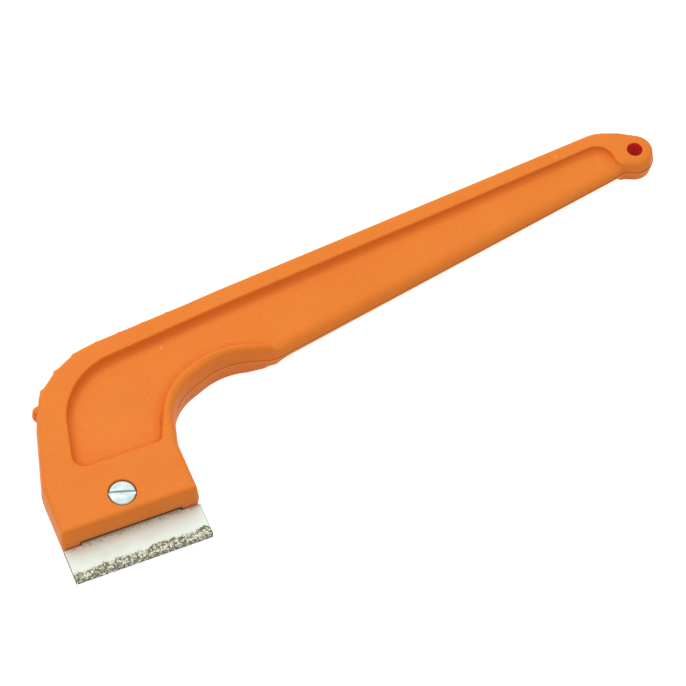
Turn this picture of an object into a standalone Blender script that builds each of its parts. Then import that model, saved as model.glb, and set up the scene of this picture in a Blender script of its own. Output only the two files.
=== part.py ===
# Grout rake: one moulded handle, a T-shaped blade with a carbide edge, a clamp screw and its nut.
# X runs along the cutting edge, Y from the cutting edge back into the handle, Z up from the table.
# All lengths are in metres. Plan positions are measured from the middle of the cutting edge.

import math

import bmesh
import bpy
from mathutils import Matrix, Vector

# Driving dimensions of the handle
REACH = 0.2279              # along the cutting edge, from its middle to the hanging eye
RISE = 0.0900               # square to the cutting edge, from it to the hanging eye
THICKNESS = 0.0165          # head, neck and finger hold
TAIL_THICKNESS = 0.0103     # at the hanging eye
TAPER_START = 0.0600        # the handle thins from here to the eye
HEAD_MARGIN = 0.0002        # the head stands this far past the blade at each side
HEAD_DEPTH = 0.0203         # front face to the start of the neck
DRAFT_DEGREES = 5.0         # mould draft of every wall, each way from the parting plane

# Corner and edge radii of the handle
HEAD_CORNER_RADIUS = 0.0012
NECK_RADIUS = 0.0030
HOLD_FRONT_RADIUS = 0.0190
HOLD_BACK_RADIUS = 0.0260
HOLD_END_RADIUS = 0.0080
NOTCH_RADIUS = 0.0020
TAIL_OUTER_RADIUS = 0.0140
TAIL_INNER_RADIUS = 0.0160
FRONT_EDGE_RADIUS = 0.0013
HEAD_EDGE_RADIUS = 0.0017
HOLD_EDGE_RADIUS = 0.0026
UNDER_EDGE_RADIUS = 0.0009  # lower edges of the finger hold and the eye
BACK_EDGE_RADIUS = 0.0020
EYE_EDGE_RADIUS = 0.0028
GRIP_TOP_RADIUS = 0.0039
GRIP_UNDER_RADIUS = 0.0044

# Hanging eye
EYE_RADIUS = 0.0071
EYE_HOLE_RADIUS = 0.0030

# Recess in each face
RECESS_DEPTH = 0.0036
RECESS_COVE = 0.0026
RECESS_RIGHT_RADIUS = 0.0026
RECESS_LEFT_RADIUS = 0.0045
RECESS_DRAFT_DEGREES = 8.0
HEAD_BLOCK_END = 0.0358     # where the recess starts behind the head

# Ribs on the back edge
RIB_COUNT = 8
RIB_PITCH = 0.0093
RIB_RADIUS = 0.0020
RIB_PROUD = 0.0009
LAST_RIB_PROUD = 0.0018     # the rib on the shoulder stands out further
RIB_END_DROP = 0.0012       # rib ends stop this far inside each face
RIB_START_SHARE = 0.178     # of the reach, to the first rib

# Blade
BLADE_REACH = 0.0132        # cutting edge to the head's front face
BLADE_WIDTH = 0.0508
BLADE_THICKNESS = 0.0018
JAW_THICKNESS = 0.0035      # plastic under the blade's slot
TANG_WIDTH = 0.0368
TANG_LENGTH = 0.0175        # inside the head
TANG_CORNER_RADIUS = 0.0020
MOUTH_DEPTH = 0.0030
MOUTH_RISE = 0.0012         # the mouth's upper edge above the slot's roof

# Carbide grit
GRIT_BAND = 0.0040
GRIT_WALL = 0.0004
GRIT_EDGE_RADIUS = 0.0003

# Clamp screw and nut
SCREW_BACK = 0.0083         # front face to the screw's axis
SCREW_HEAD_RADIUS = 0.00475
SCREW_HEAD_HEIGHT = 0.0030
SCREW_HEAD_BEVEL = 0.0006
SCREW_RADIUS = 0.0025
SCREW_END_LIFT = 0.0004     # the screw's tip stays this far above the underside
DRIVE_WIDTH = 0.0012
DRIVE_DEPTH = 0.0014
DRIVE_DEGREES = -18.0
NUT_ACROSS_FLATS = 0.0080
NUT_HEIGHT = 0.0024
NUT_LIFT = 0.0002           # nut above the underside

# Fits
CLEARANCE = 0.0003
OVERRUN = 0.0030            # how far every cutter runs past what it cuts
CUT_TOLERANCE = 0.0000001

# Where rounded surfaces get their steps, as shares of the way round
EDGE_STEP_SHARES = (0.0, 0.05, 0.17, 0.38, 0.66, 1.0)
GRIP_TOP_STEP_SHARES = (0.12, 0.35, 0.65, 1.0)
GRIP_UNDER_STEP_SHARES = (0.12, 0.35, 0.65, 1.0)
COVE_STEP_SHARES = (0.0, 0.15, 0.5, 1.0)
RIB_STEP_SHARES = (0.05, 0.3, 0.65, 1.0)
FILLET_SHARE = 0.96          # of a straight run that the fillets at its ends may use up
LEAST_RADIUS_SHARE = 0.25    # of its plan radius, that every fillet keeps on an inset outline
SHARP_DEGREES = 30.0

# Worked out from the sizes above
FRONT = BLADE_REACH
HEAD_WIDTH = BLADE_WIDTH + 2 * HEAD_MARGIN
MIDDLE = THICKNESS / 2
DRAFT = math.tan(math.radians(DRAFT_DEGREES))
FLOOR = THICKNESS - RECESS_DEPTH
SCREW_Y = FRONT + SCREW_BACK
SLOT_BOTTOM = JAW_THICKNESS
BLADE_BOTTOM = SLOT_BOTTOM + CLEARANCE
BLADE_TOP = BLADE_BOTTOM + BLADE_THICKNESS
SLOT_TOP = BLADE_TOP + CLEARANCE
STEEL_FRONT = GRIT_WALL + CLEARANCE


def place(x_share, y_share):
    return (REACH * x_share, RISE * y_share)


# Each wall of the outline has a rounding at its upper and lower edge: radius and height of the edge
FACE_TOP = THICKNESS
FACE_UNDER = 0.0
WALLS = {
    "front": (FRONT_EDGE_RADIUS, FACE_TOP, FRONT_EDGE_RADIUS, FACE_UNDER),
    "head": (HEAD_EDGE_RADIUS, FACE_TOP, HEAD_EDGE_RADIUS, FACE_UNDER),
    "hold": (HOLD_EDGE_RADIUS, FACE_TOP, UNDER_EDGE_RADIUS, FACE_UNDER),
    "grip": (GRIP_TOP_RADIUS, FLOOR, GRIP_UNDER_RADIUS, RECESS_DEPTH),
    "eye": (EYE_EDGE_RADIUS, FACE_TOP, UNDER_EDGE_RADIUS, FACE_UNDER),
    "back": (BACK_EDGE_RADIUS, FACE_TOP, BACK_EDGE_RADIUS, FACE_UNDER),
}

# Plan corners behind the head, as shares of the reach and the rise; the hold's start is counted from
# the head's side
HOLD_START_SHARES = (0.0199, 0.5800)
HOLD_CREST_SHARES = (0.2310, 0.6800)
HOLD_FOOT_SHARES = (0.3115, 0.6239)
GRIP_END_SHARE = 0.9550      # of the way from the hold's foot to the notch
NOTCH_SHARES = (0.9735, 0.9450)
TAIL_OUTER_SHARES = (0.9934, 1.1122)
TAIL_INNER_SHARES = (0.9522, 1.1478)
NECK_LEFT_RISE_SHARE = 0.0060
EYE_TANGENT_DEGREES = (-115.0, -40.0, 65.0)

# Plan corners of the back edge where it turns down to the head, then of the recess: the same shares,
# each with its radius as a share of the rise
BACK_SHARES = (
    (0.2062, 0.9593, 0.400),
    (0.0535, 0.9273, 0.240),
    (0.0199, 0.9131, 0.120),
    (-0.0224, 0.8599, 0.110),
    (-0.0610, 0.7773, 0.080),
    (-0.0799, 0.6684, 0.110),
)
RECESS_SHARES = (
    (0.1215, 0.5950, 0.290),
    (0.2162, 0.7610, 0.370),
)
RECESS_HEAD_SHARE = 0.0885
RECESS_BACK_SHARES = (
    (0.9667, 0.9778, 0.089),
    (0.9592, 1.0789, 0.053),
    (-0.0172, 0.8133, 0.300),
)
RECESS_LEFT_SHARE = -0.0553
RECESS_FOOT_SHARES = (0.3700, 0.6050)


def eye_corners():
    # corners of lines that touch the eye's circle, so that their fillets make that circle
    corners = []
    for first, second in zip(EYE_TANGENT_DEGREES, EYE_TANGENT_DEGREES[1:]):
        middle = math.radians((first + second) / 2)
        out = EYE_RADIUS / math.cos(math.radians((second - first) / 2))
        corners.append((REACH + out * math.cos(middle), RISE + out * math.sin(middle), EYE_RADIUS, 7, "eye"))
    return corners


def grip_end():
    foot = Vector(place(*HOLD_FOOT_SHARES))
    notch = Vector(place(*NOTCH_SHARES))
    return foot.lerp(notch, GRIP_END_SHARE)


def handle_corners():
    # x, y, plan radius, arc steps, wall that follows the corner; anticlockwise seen from above
    half = HEAD_WIDTH / 2
    neck = FRONT + HEAD_DEPTH
    start_x, start_y = place(*HOLD_START_SHARES)
    return [
        (half, FRONT, HEAD_CORNER_RADIUS, 3, "head"),
        (half, neck, NECK_RADIUS, 3, "hold"),
        (half + start_x, start_y, HOLD_FRONT_RADIUS, 9, "hold"),
        (*place(*HOLD_CREST_SHARES), HOLD_BACK_RADIUS, 9, "hold"),
        (*place(*HOLD_FOOT_SHARES), HOLD_END_RADIUS, 5, "grip"),
        (*grip_end(), HOLD_END_RADIUS, 0, "eye"),
        (*place(*NOTCH_SHARES), NOTCH_RADIUS, 4, "eye"),
        *eye_corners(),
        (*place(*TAIL_OUTER_SHARES), TAIL_OUTER_RADIUS, 4, "back"),
        (*place(*TAIL_INNER_SHARES), TAIL_INNER_RADIUS, 4, "back"),
        *((*place(x, y), RISE * radius, 4, "back") for x, y, radius in BACK_SHARES),
        (-half, neck + RISE * NECK_LEFT_RISE_SHARE, NECK_RADIUS, 3, "head"),
        (-half, FRONT, HEAD_CORNER_RADIUS, 3, "front"),
    ]


def recess_corners():
    out = [(REACH * RECESS_HEAD_SHARE, HEAD_BLOCK_END, RECESS_RIGHT_RADIUS, 3)]
    out += [(*place(x, y), RISE * radius, 9) for x, y, radius in RECESS_SHARES]
    foot_x, foot_y = place(*RECESS_FOOT_SHARES)
    notch_x, notch_y = place(*NOTCH_SHARES)
    out.append((foot_x, foot_y - OVERRUN, OVERRUN / 2, 2))
    out.append((notch_x, notch_y - 2 * OVERRUN, OVERRUN / 2, 2))
    out += [(*place(x, y), RISE * radius, 6) for x, y, radius in RECESS_BACK_SHARES]
    out.append((REACH * RECESS_LEFT_SHARE, HEAD_BLOCK_END, RECESS_LEFT_RADIUS, 3))
    return out


def rounding(radius, distance):
    # how far a rounded edge lies inside its wall, this far from the face; 0 below the rounding
    depth = min(max(radius - distance, 0.0), radius)
    return radius - math.sqrt(radius * radius - depth * depth)


def wall_inset(wall, z):
    top_radius, top, under_radius, under = WALLS[wall]
    return DRAFT * abs(z - MIDDLE) + rounding(top_radius, top - z) + rounding(under_radius, z - under)


def recess_inset(height):
    return rounding(RECESS_COVE, height) - math.tan(math.radians(RECESS_DRAFT_DEGREES)) * height


def inset_ring(corners, insets):
    # corners: x, y, radius, arc steps; a corner with no steps lies on a straight wall
    # insets: one for the wall that follows each corner
    count = len(corners)
    points = [Vector(corner[:2]) for corner in corners]
    ways = [(points[(i + 1) % count] - points[i]).normalized() for i in range(count)]
    moved = []
    turns = []
    for i in range(count):
        before, after = ways[i - 1], ways[i]
        cross = before.cross(after)
        if corners[i][3]:
            moved.append(points[i] + (after * insets[i - 1] - before * insets[i]) / cross)
        else:
            inward = Vector((-after.y, after.x))
            moved.append(points[i] + inward * (insets[i - 1] + insets[i]) / 2)
        turns.append(math.atan2(cross, before.dot(after)))
    tangents = []
    for i in range(count):
        change = (insets[i - 1] + insets[i]) / 2
        radius = corners[i][2] - math.copysign(change, turns[i])
        radius = max(radius, corners[i][2] * LEAST_RADIUS_SHARE) if corners[i][3] else 0.0
        tangents.append(radius * math.tan(abs(turns[i]) / 2))
    lengths = [(moved[(i + 1) % count] - moved[i]).length for i in range(count)]
    room = []
    for i in range(count):
        needed = tangents[i] + tangents[(i + 1) % count]
        room.append(min(1.0, FILLET_SHARE * lengths[i] / needed))
    ring = []
    for i in range(count):
        if not corners[i][3]:
            ring.append(moved[i])
            continue
        tangent = tangents[i] * min(room[i - 1], room[i])
        radius = tangent / math.tan(abs(turns[i]) / 2)
        side = math.copysign(1.0, turns[i])
        start = moved[i] - ways[i - 1] * tangent
        centre = start + Vector((-ways[i - 1].y, ways[i - 1].x)) * radius * side
        spoke = start - centre
        steps = corners[i][3]
        for step in range(steps + 1):
            ring.append(centre + Matrix.Rotation(turns[i] * step / steps, 2) @ spoke)
    return ring


def skin(bm, rings):
    # closed solid over rings of (x, y, z) that all have as many points, from the lowest to the highest
    loops = [[bm.verts.new(point) for point in ring] for ring in rings]
    bm.faces.new(reversed(loops[0]))
    bm.faces.new(loops[-1])
    for low, high in zip(loops, loops[1:]):
        for i in range(len(low)):
            j = (i + 1) % len(low)
            bm.faces.new((low[i], low[j], high[j], high[i]))


def lift(ring, z):
    return [(point.x, point.y, z) for point in ring]


def make_object(name, bm, material=None, parent=None, location=(0, 0, 0)):
    mesh = bpy.data.meshes.new(name)
    bm.to_mesh(mesh)
    bm.free()
    item = bpy.data.objects.new(name, mesh)
    bpy.context.scene.collection.objects.link(item)
    item.location = location
    item.parent = parent
    if material is None:
        item.hide_render = True
        item.display_type = "WIRE"
    else:
        mesh.materials.append(material)
        mesh.shade_smooth()
        mesh.set_sharp_from_angle(angle=math.radians(SHARP_DEGREES))
    return item


def make_material(name, color, roughness, metallic):
    material = bpy.data.materials.new(name)
    material.use_nodes = True
    shader = material.node_tree.nodes["Principled BSDF"]
    shader.inputs["Base Color"].default_value = (*color, 1.0)
    shader.inputs["Roughness"].default_value = roughness
    shader.inputs["Metallic"].default_value = metallic
    material.diffuse_color = (*color, 1.0)
    return material


def combine(target, others, operation):
    for other in others:
        modifier = target.modifiers.new(other.name, "BOOLEAN")
        modifier.object = other
        modifier.operation = operation
        modifier.solver = "EXACT"


def bake(item, others):
    # the modifiers' result replaces the object's mesh, and the helper objects go
    depsgraph = bpy.context.evaluated_depsgraph_get()
    mesh = bpy.data.meshes.new_from_object(item.evaluated_get(depsgraph))
    item.modifiers.clear()
    item.data = mesh
    for other in others:
        bpy.data.objects.remove(other)


def body_heights():
    # heights of the rings: close together where the walls round over
    upper = [THICKNESS - RECESS_DEPTH * share for share in EDGE_STEP_SHARES]
    upper += [FLOOR - GRIP_TOP_RADIUS * share for share in GRIP_TOP_STEP_SHARES]
    lower = [RECESS_DEPTH * share for share in EDGE_STEP_SHARES]
    lower += [RECESS_DEPTH + GRIP_UNDER_RADIUS * share for share in GRIP_UNDER_STEP_SHARES]
    return lower + [MIDDLE] + upper[::-1]


def handle_body():
    corners = handle_corners()
    rings = []
    for z in body_heights():
        insets = [wall_inset(corner[4], z) for corner in corners]
        rings.append(lift(inset_ring(corners, insets), z))
    bm = bmesh.new()
    skin(bm, rings)
    return bm


def recess_cutter(upper):
    corners = recess_corners()
    heights = [RECESS_COVE * share for share in COVE_STEP_SHARES] + [RECESS_DEPTH + OVERRUN]
    rings = []
    for height in heights:
        ring = inset_ring(corners, [recess_inset(height)] * len(corners))
        rings.append(lift(ring, FLOOR + height))
    bm = bmesh.new()
    skin(bm, rings)
    if not upper:
        flip = Matrix.Translation((0, 0, THICKNESS)) @ Matrix.Scale(-1, 4, (0, 0, 1))
        bmesh.ops.transform(bm, matrix=flip, verts=bm.verts)
        bmesh.ops.reverse_faces(bm, faces=bm.faces)
    return bm


def rib_places():
    # even steps along the outline at the parting plane, from a point on the back edge to the shoulder
    corners = handle_corners()
    ring = inset_ring(corners, [0.0] * len(corners))
    start = REACH * RIB_START_SHARE
    runs = [(a, b) for a, b in zip(ring, ring[1:]) if a.x > b.x and a.y > RISE / 2 and b.x < start]
    places = []
    wanted = 0.0
    walked = 0.0
    for index, (a, b) in enumerate(runs):
        if index == 0:
            a = a + (b - a) * ((a.x - start) / (a.x - b.x))
        way = b - a
        while len(places) < RIB_COUNT and wanted <= walked + way.length:
            inward = Vector((-way.y, way.x)).normalized()
            places.append((a + way.normalized() * (wanted - walked), inward))
            wanted += RIB_PITCH
        walked += way.length
    return places


def rib(place_on_wall, inward, proud):
    # upright half-round rib with rounded ends, leaning with the wall's draft
    low = RIB_END_DROP
    high = THICKNESS - RIB_END_DROP
    ends = [(share, math.sqrt(1 - (1 - share) ** 2)) for share in RIB_STEP_SHARES]
    profile = [(low + RIB_RADIUS * rise, RIB_RADIUS * width) for rise, width in ends]
    profile += [(high - RIB_RADIUS * rise, RIB_RADIUS * width) for rise, width in reversed(ends)]
    bm = bmesh.new()
    steps = 14
    rings = []
    for z, radius in profile:
        axis = place_on_wall + inward * (RIB_RADIUS - proud + DRAFT * abs(z - MIDDLE))
        rings.append(circle(radius, z, steps, axis.x, axis.y))
    skin(bm, rings)
    return bm


def circle(radius, z, steps, x=0.0, y=0.0):
    angles = [math.tau * step / steps for step in range(steps)]
    return [(x + radius * math.cos(angle), y + radius * math.sin(angle), z) for angle in angles]


def cylinder(radius, low, high, x=0.0, y=0.0, sides=32):
    bm = bmesh.new()
    matrix = Matrix.Translation((x, y, (low + high) / 2))
    bmesh.ops.create_cone(bm, cap_ends=True, segments=sides, radius1=radius, radius2=radius,
                          depth=high - low, matrix=matrix)
    return bm


def extrude_profile(profile, half_width):
    # (y, z) profile, anticlockwise seen from +X, made into a bar that is centred on x = 0
    bm = bmesh.new()
    face = bm.faces.new([bm.verts.new((-half_width, y, z)) for y, z in profile])
    face.normal_flip()
    moved = bmesh.ops.extrude_face_region(bm, geom=[face], use_keep_orig=True)
    verts = [part for part in moved["geom"] if isinstance(part, bmesh.types.BMVert)]
    bmesh.ops.translate(bm, verts=verts, vec=(2 * half_width, 0, 0))
    bmesh.ops.recalc_face_normals(bm, faces=bm.faces)
    return bm


def slot_cutter():
    # the blade's slot, with the taller mouth at the front face
    front = FRONT
    back = FRONT + TANG_LENGTH + CLEARANCE
    mouth_top = SLOT_TOP + MOUTH_RISE
    profile = [
        (front - OVERRUN, SLOT_BOTTOM), (back, SLOT_BOTTOM), (back, SLOT_TOP),
        (front + MOUTH_DEPTH, SLOT_TOP), (front, mouth_top), (front - OVERRUN, mouth_top),
    ]
    return extrude_profile(profile, TANG_WIDTH / 2 + CLEARANCE)


def nut_pocket():
    low = -OVERRUN
    high = NUT_LIFT + NUT_HEIGHT + CLEARANCE
    radius = (NUT_ACROSS_FLATS / 2 + CLEARANCE) / math.cos(math.pi / 6)
    return cylinder(radius, low, high, y=SCREW_Y, sides=6)


def thin_towards_eye(item):
    # squeezes the handle towards its underside, evenly from the taper's start to the eye
    bm = bmesh.new()
    bm.from_mesh(item.data)
    geometry = list(bm.verts) + list(bm.edges) + list(bm.faces)
    bmesh.ops.bisect_plane(bm, geom=geometry, dist=CUT_TOLERANCE,
                           plane_co=(TAPER_START, 0, 0), plane_no=(1, 0, 0))
    bmesh.ops.triangulate(bm, faces=bm.faces)
    slope = (1 - TAIL_THICKNESS / THICKNESS) / (REACH - TAPER_START)
    for vert in bm.verts:
        vert.co.z *= 1 - slope * max(vert.co.x - TAPER_START, 0.0)
    bm.to_mesh(item.data)
    bm.free()
    item.data.shade_smooth()
    item.data.set_sharp_from_angle(angle=math.radians(SHARP_DEGREES))


def make_handle(parent):
    orange = make_material("orange_plastic", (0.82, 0.23, 0.045), 0.45, 0.0)
    item = make_object("handle", handle_body(), orange)
    prouds = [RIB_PROUD] * (RIB_COUNT - 1) + [LAST_RIB_PROUD]
    ribs = [make_object("rib", rib(*spot, proud)) for spot, proud in zip(rib_places(), prouds)]
    combine(item, ribs, "UNION")
    bore = SCREW_RADIUS + CLEARANCE
    sink = THICKNESS - SCREW_HEAD_HEIGHT - CLEARANCE
    top = THICKNESS + OVERRUN
    cutters = [
        make_object("recess_top_cutter", recess_cutter(True)),
        make_object("recess_under_cutter", recess_cutter(False)),
        make_object("slot_cutter", slot_cutter()),
        make_object("sink_cutter", cylinder(SCREW_HEAD_RADIUS + CLEARANCE, sink, top, y=SCREW_Y)),
        make_object("bore_cutter", cylinder(bore, -OVERRUN, top, y=SCREW_Y, sides=24)),
        make_object("nut_cutter", nut_pocket()),
        make_object("eye_cutter", cylinder(EYE_HOLE_RADIUS, -OVERRUN, top, x=REACH, y=RISE)),
    ]
    combine(item, cutters, "DIFFERENCE")
    bake(item, ribs + cutters)
    thin_towards_eye(item)
    item.parent = parent


def make_blade(parent):
    # T-shaped plate: wide outside the head, a narrower tang inside, its screw slot open at the rear
    steel = make_material("blade_steel", (0.78, 0.78, 0.80), 0.30, 1.0)
    wide = BLADE_WIDTH / 2
    tang = TANG_WIDTH / 2
    gap = SCREW_RADIUS + CLEARANCE
    shoulder = FRONT - CLEARANCE
    rear = FRONT + TANG_LENGTH
    arc = [math.pi + math.pi * step / 10 for step in range(11)]
    slot = [(gap * math.cos(angle), SCREW_Y + gap * math.sin(angle)) for angle in arc]
    chamfer = TANG_CORNER_RADIUS
    outline = [
        (-wide, STEEL_FRONT), (wide, STEEL_FRONT), (wide, shoulder), (tang, shoulder),
        (tang, rear - chamfer), (tang - chamfer, rear), (gap, rear), *slot[::-1], (-gap, rear),
        (chamfer - tang, rear), (-tang, rear - chamfer), (-tang, shoulder), (-wide, shoulder),
    ]
    bm = bmesh.new()
    skin(bm, [[(x, y, BLADE_BOTTOM) for x, y in outline], [(x, y, BLADE_TOP) for x, y in outline]])
    make_object("blade", bm, steel, parent)


def make_grit(parent):
    # thin crust folded round the steel's front edge
    grey = make_material("carbide_grit", (0.35, 0.34, 0.30), 0.70, 0.4)
    low = BLADE_BOTTOM - CLEARANCE
    high = BLADE_TOP + CLEARANCE
    inner = GRIT_WALL
    chamfer = GRIT_EDGE_RADIUS
    profile = [
        (chamfer, low - GRIT_WALL), (GRIT_BAND, low - GRIT_WALL), (GRIT_BAND, low), (inner, low),
        (inner, high), (GRIT_BAND, high), (GRIT_BAND, high + GRIT_WALL), (chamfer, high + GRIT_WALL),
        (0.0, high + GRIT_WALL - chamfer), (0.0, low - GRIT_WALL + chamfer),
    ]
    make_object("carbide_grit", extrude_profile(profile, BLADE_WIDTH / 2), grey, parent)


def make_screw(parent):
    # pan head with a straight slot, flush with the head's top face; its origin is on its axis
    plated = make_material("screw_plating", (0.75, 0.78, 0.80), 0.30, 1.0)
    under = THICKNESS - SCREW_HEAD_HEIGHT
    rim = [(SCREW_HEAD_BEVEL * (1 - math.sin(angle)), SCREW_HEAD_BEVEL * (1 - math.cos(angle)))
           for angle in (0, math.pi / 6, math.pi / 3, math.pi / 2)]
    profile = [(SCREW_RADIUS - CLEARANCE, SCREW_END_LIFT), (SCREW_RADIUS, SCREW_END_LIFT + CLEARANCE)]
    profile += [(SCREW_RADIUS, under), (SCREW_HEAD_RADIUS, under)]
    profile += [(SCREW_HEAD_RADIUS - inset, THICKNESS - drop) for drop, inset in rim]
    steps = 32
    bm = bmesh.new()
    rings = []
    for radius, z in profile:
        rings.append(circle(radius, z, steps))
    skin(bm, rings)
    item = make_object("clamp_screw", bm, plated, parent, (0, SCREW_Y, 0))
    bm = bmesh.new()
    bmesh.ops.create_cube(bm, size=1.0)
    size = Matrix.Diagonal((2 * SCREW_HEAD_RADIUS + OVERRUN, DRIVE_WIDTH, 2 * DRIVE_DEPTH, 1))
    turn = Matrix.Rotation(math.radians(DRIVE_DEGREES), 4, "Z")
    bmesh.ops.transform(bm, matrix=turn @ size, verts=bm.verts)
    cutter = make_object("drive_cutter", bm, location=(0, SCREW_Y, THICKNESS))
    combine(item, [cutter], "DIFFERENCE")
    bpy.context.view_layer.update()
    bake(item, [cutter])


def make_nut(parent):
    plated = make_material("nut_plating", (0.70, 0.70, 0.68), 0.35, 1.0)
    radius = NUT_ACROSS_FLATS / 2 / math.cos(math.pi / 6)
    bm = cylinder(radius, NUT_LIFT, NUT_LIFT + NUT_HEIGHT, sides=6)
    item = make_object("clamp_nut", bm, plated, parent, (0, SCREW_Y, 0))
    bore = make_object("thread_cutter", cylinder(SCREW_RADIUS + CLEARANCE, -OVERRUN, THICKNESS, sides=24),
                       location=(0, SCREW_Y, 0))
    combine(item, [bore], "DIFFERENCE")
    bpy.context.view_layer.update()
    bake(item, [bore])


def centre_on_table(root):
    # the model's box is centred over the origin, and it lies on z = 0
    bpy.context.view_layer.update()
    corners = [item.matrix_world @ Vector(corner) for item in root.children for corner in item.bound_box]
    xs = [corner.x for corner in corners]
    ys = [corner.y for corner in corners]
    root.location = (-(min(xs) + max(xs)) / 2, -(min(ys) + max(ys)) / 2, 0)
    bpy.context.view_layer.update()


def main():
    for item in list(bpy.data.objects):
        bpy.data.objects.remove(item)
    root = bpy.data.objects.new("grout_rake", None)
    bpy.context.scene.collection.objects.link(root)
    make_handle(root)
    make_blade(root)
    make_grit(root)
    make_screw(root)
    make_nut(root)
    centre_on_table(root)
    print("grout rake: plan origin at", tuple(round(value, 6) for value in root.location))


main()
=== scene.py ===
# Grout rake: visible pieces, materials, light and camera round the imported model.
# The pieces are laid out in millimetres from the middle of the cutting edge: x along it, y back into
# the handle, z up from the table. toWorld() puts them in the model's own frame.

import math

import bmesh
import bpy
import numpy as np
from mathutils import Matrix, Vector


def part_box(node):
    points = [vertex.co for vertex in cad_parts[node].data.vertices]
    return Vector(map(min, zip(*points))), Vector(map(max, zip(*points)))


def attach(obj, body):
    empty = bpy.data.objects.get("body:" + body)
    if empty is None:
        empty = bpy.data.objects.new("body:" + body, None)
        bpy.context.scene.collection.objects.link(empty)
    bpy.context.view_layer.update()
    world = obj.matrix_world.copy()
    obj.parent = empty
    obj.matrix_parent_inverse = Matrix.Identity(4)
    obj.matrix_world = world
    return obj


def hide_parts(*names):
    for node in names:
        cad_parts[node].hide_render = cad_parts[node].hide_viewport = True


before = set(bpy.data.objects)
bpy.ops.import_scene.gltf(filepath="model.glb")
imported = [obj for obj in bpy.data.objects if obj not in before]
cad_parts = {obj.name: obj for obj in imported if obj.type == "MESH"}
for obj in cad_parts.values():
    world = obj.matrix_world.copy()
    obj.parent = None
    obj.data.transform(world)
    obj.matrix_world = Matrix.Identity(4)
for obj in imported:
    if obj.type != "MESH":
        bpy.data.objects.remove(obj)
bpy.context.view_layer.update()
gritLow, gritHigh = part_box("carbide_grit")
edgeMiddle = Vector(((gritLow.x + gritHigh.x) / 2, gritLow.y, 0))
randomGen = np.random.default_rng(11)
print("frame loaded")


# What a piece needs to become an object

def toWorld(points):
    out = np.asarray(points, dtype=float) / 1000
    out[:, 0] += edgeMiddle.x
    out[:, 1] += edgeMiddle.y
    return out


def meshObject(name, points, faces, material, smooth=True):
    mesh = bpy.data.meshes.new(name)
    mesh.from_pydata(toWorld(points).tolist(), [], faces if isinstance(faces, list) else faces.tolist())
    mesh.materials.append(material)
    if smooth:
        mesh.shade_smooth()
    item = bpy.data.objects.new(name, mesh)
    bpy.context.scene.collection.objects.link(item)
    return item


def standFor(item, node, body):
    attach(item, body)
    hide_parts(node)


def smoothStep(low, high, value):
    share = np.clip((value - low) / (high - low), 0, 1)
    return share * share * (3 - 2 * share)


# Shader node groups and helpers

def addNode(tree, kind, place=(0, 0), **settings):
    node = tree.nodes.new(kind)
    node.location = place
    for key, value in settings.items():
        setattr(node, key, value)
    return node


def makeGroup(name, inputs, outputs):
    group = bpy.data.node_groups.new(name, "ShaderNodeTree")
    for label, kind, value in inputs:
        socket = group.interface.new_socket(label, in_out="INPUT", socket_type=kind)
        if value is not None:
            socket.default_value = value
    for label, kind in outputs:
        group.interface.new_socket(label, in_out="OUTPUT", socket_type=kind)
    start = addNode(group, "NodeGroupInput", (-900, 0))
    end = addNode(group, "NodeGroupOutput", (900, 0))
    return group, start, end


def mathNode(tree, operation, first, second=None, place=(0, 0), clamp=False):
    node = addNode(tree, "ShaderNodeMath", place, operation=operation, use_clamp=clamp)
    for index, value in enumerate((first, second)):
        if value is None:
            continue
        if isinstance(value, (int, float)):
            node.inputs[index].default_value = value
        else:
            tree.links.new(value, node.inputs[index])
    return node.outputs[0]


def mixColor(tree, factor, first, second, place=(0, 0), blend="MIX"):
    node = addNode(tree, "ShaderNodeMix", place, data_type="RGBA", blend_type=blend)
    for socket, value in ((node.inputs[0], factor), (node.inputs[6], first), (node.inputs[7], second)):
        if isinstance(value, (int, float)):
            socket.default_value = value
        elif isinstance(value, tuple):
            socket.default_value = (*value, 1.0)
        else:
            tree.links.new(value, socket)
    return node.outputs[2]


def mapRange(tree, value, low, high, toLow, toHigh, place=(0, 0)):
    node = addNode(tree, "ShaderNodeMapRange", place)
    tree.links.new(value, node.inputs[0])
    for index, number in enumerate((low, high, toLow, toHigh), start=1):
        node.inputs[index].default_value = number
    return node.outputs[0]


def noiseNode(tree, vector, scale, detail, roughness, place=(0, 0)):
    node = addNode(tree, "ShaderNodeTexNoise", place)
    tree.links.new(vector, node.inputs["Vector"])
    for label, value in (("Scale", scale), ("Detail", detail), ("Roughness", roughness)):
        if isinstance(value, (int, float)):
            node.inputs[label].default_value = value
        else:
            tree.links.new(value, node.inputs[label])
    return node.outputs["Fac"]


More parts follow.
